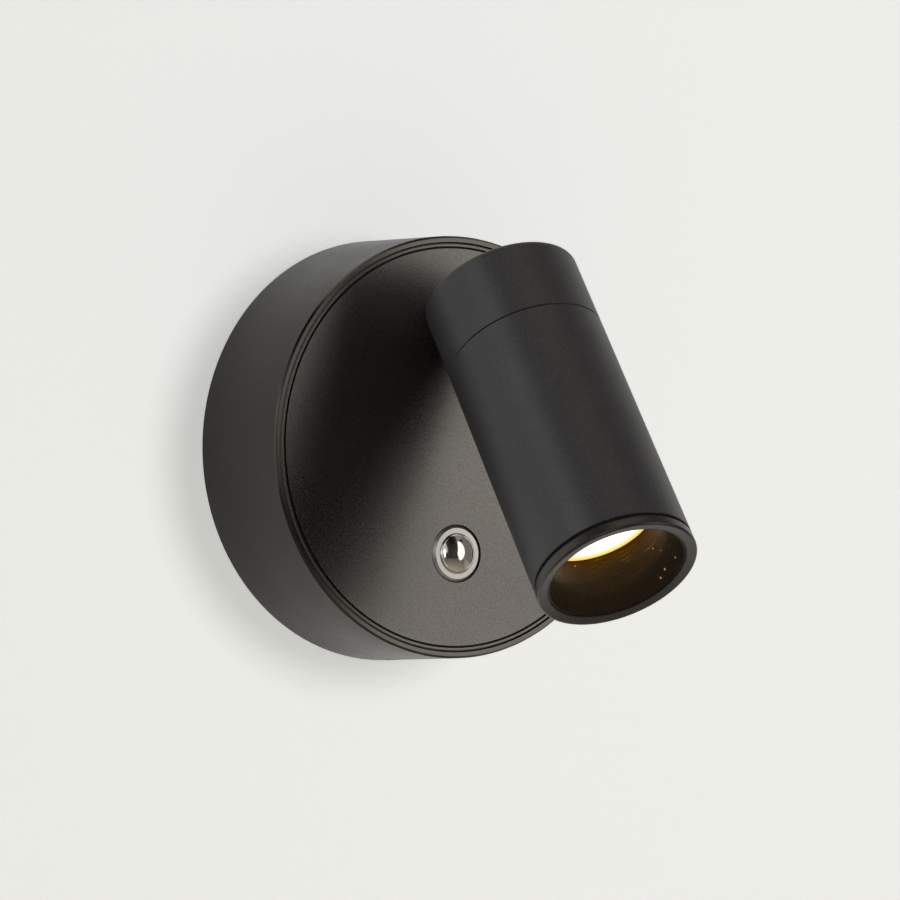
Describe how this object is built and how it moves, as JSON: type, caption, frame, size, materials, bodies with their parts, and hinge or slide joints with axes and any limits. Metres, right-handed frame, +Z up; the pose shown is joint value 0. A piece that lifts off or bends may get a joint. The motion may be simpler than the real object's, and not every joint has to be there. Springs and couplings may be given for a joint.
{
  "type": "wall reading lamp",
  "caption": "Wall reading lamp: round matt black drum with a domed push button, and a slightly tapered round spot head that turns and tilts on a short hidden arm.",
  "frame": {"origin": "centre of the drum's back, on the wall, midway between the two wall-screw slots", "axes": "+Z up, +Y into the wall, so the lamp stands out along -Y, and +X to the right as seen by someone facing the lamp"},
  "size_m": [0.1, 0.1178, 0.1],
  "materials": {
    "matt_black": "fine matt powder coat on aluminium",
    "sand_black": "fine sand-textured powder coat on aluminium",
    "black_steel": "blackened steel",
    "zinc_steel": "zinc-plated steel",
    "satin_steel": "satin stainless steel",
    "chrome": "mirror chrome",
    "bare_aluminium": "bare milled aluminium",
    "brass": "plain brass",
    "black_rubber": "soft black rubber",
    "nylon": "natural nylon",
    "white_plastic": "moulded white plastic",
    "black_plastic": "moulded black plastic",
    "gloss_black": "polished black plastic",
    "white_board": "white solder mask on metal core",
    "phosphor": "yellow phosphor gel",
    "brown_lead": "brown insulation",
    "blue_lead": "blue insulation",
    "black_lead": "black insulation",
    "lit_lens": "clear moulded lens, lit warm white"
  },
  "bodies": {
    "base": {"wall_plate": "zinc_steel", "cable_grommet": "black_rubber", "base_drum": "matt_black", "side_screws": "black_steel", "front_plate": "sand_black", "plate_screws": "zinc_steel", "earth_screw": "brass", "terminal_block": "white_plastic", "terminal_sleeves": "brass", "terminal_screws": "zinc_steel", "block_screws": "zinc_steel", "led_driver": "white_plastic", "driver_screws": "zinc_steel", "button_body": "satin_steel", "button_seal": "black_rubber", "button_nut": "zinc_steel", "switch_base": "black_plastic", "switch_terminals": "brass", "stem_bush": "nylon", "slip_washer": "nylon", "stop_pin": "zinc_steel", "live_lead": "brown_lead", "switched_lead": "black_lead", "neutral_lead": "blue_lead", "lamp_lead": "black_lead"},
    "button": {"button_dome": "chrome"},
    "arm": {"swivel_arm": "matt_black", "stop_washer": "zinc_steel", "stem_spring": "zinc_steel", "stem_nut": "zinc_steel"},
    "head": {"head_cap": "matt_black", "cap_screw": "black_steel", "hinge_yoke": "zinc_steel", "yoke_screws": "zinc_steel", "hinge_bolt": "zinc_steel", "hinge_washers": "nylon", "hinge_spring": "zinc_steel", "hinge_nut": "zinc_steel", "heat_sink": "bare_aluminium", "head_tube": "matt_black", "led_board": "white_board", "board_screws": "zinc_steel", "led_chip": "white_plastic", "led_emitter": "phosphor", "lens": "lit_lens", "lens_holder": "black_plastic", "baffle": "gloss_black", "bezel_ring": "matt_black", "bezel_seal": "black_rubber", "head_lead": "black_lead"}
  },
  "joints": [
    {"name": "head_turn", "type": "hinge", "parent": "base", "child": "arm", "pos_m": [0, -0.032, 0.0302], "axis": [0, -1, 0], "range_deg": [-165, 165]},
    {"name": "head_tilt", "type": "hinge", "parent": "arm", "child": "head", "pos_m": [0, -0.057, 0.0302], "axis": [-1, 0, 0], "range_deg": [-36, 53.9]},
    {"name": "button_press", "type": "slide", "parent": "base", "child": "button", "axis": [0, 1, 0], "range_m": [0, 0.0014], "stiffness_N_per_m": 1500, "springref_m": -0.001}
  ]
}
